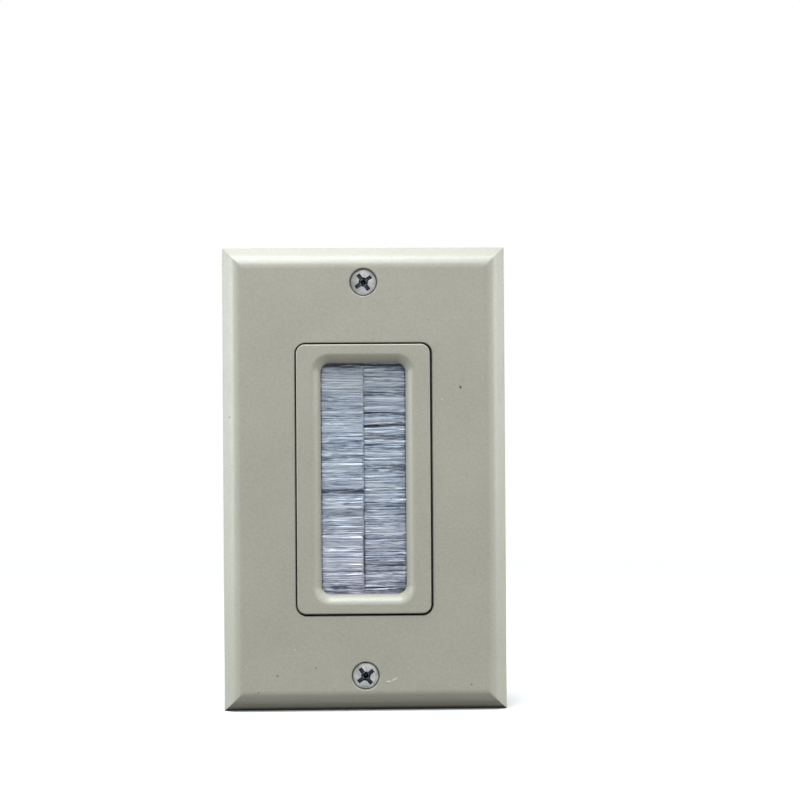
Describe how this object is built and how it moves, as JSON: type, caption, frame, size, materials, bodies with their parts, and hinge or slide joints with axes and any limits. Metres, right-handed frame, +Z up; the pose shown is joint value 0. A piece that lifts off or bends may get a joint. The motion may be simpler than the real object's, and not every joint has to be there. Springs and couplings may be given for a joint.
{
  "type": "brush wall plate",
  "caption": "Wall cover plate with a framed upright opening closed by facing rows of bristles, for passing cables through a wall.",
  "frame": {"origin": "centre of the insert, on the wall's surface, midway between the two box-screw holes", "axes": "+Z up, -Y out of the wall towards the room, +Y into the wall, +X to the right as seen from the room"},
  "size_m": [0.0698, 0.0134, 0.1142],
  "materials": {
    "plate_plastic": "satin, fine grain",
    "insert_plastic": "satin, fine grain",
    "retainer_plastic": "satin",
    "zinc_steel": "bright zinc plate",
    "small_screw_steel": "zinc plate",
    "galvanised_sheet": "galvanised",
    "core_wire_steel": "drawn wire",
    "bristle_nylon": "clear grey filament"
  },
  "bodies": {
    "root": {"wall_plate": "plate_plastic", "plate_screws": "zinc_steel", "insert_frame": "insert_plastic", "left_brush_channel": "galvanised_sheet", "right_brush_channel": "galvanised_sheet", "left_core_wire": "core_wire_steel", "right_core_wire": "core_wire_steel", "left_bristles": "bristle_nylon", "right_bristles": "bristle_nylon", "retainer": "retainer_plastic", "retainer_screws": "small_screw_steel"}
  },
  "joints": []
}
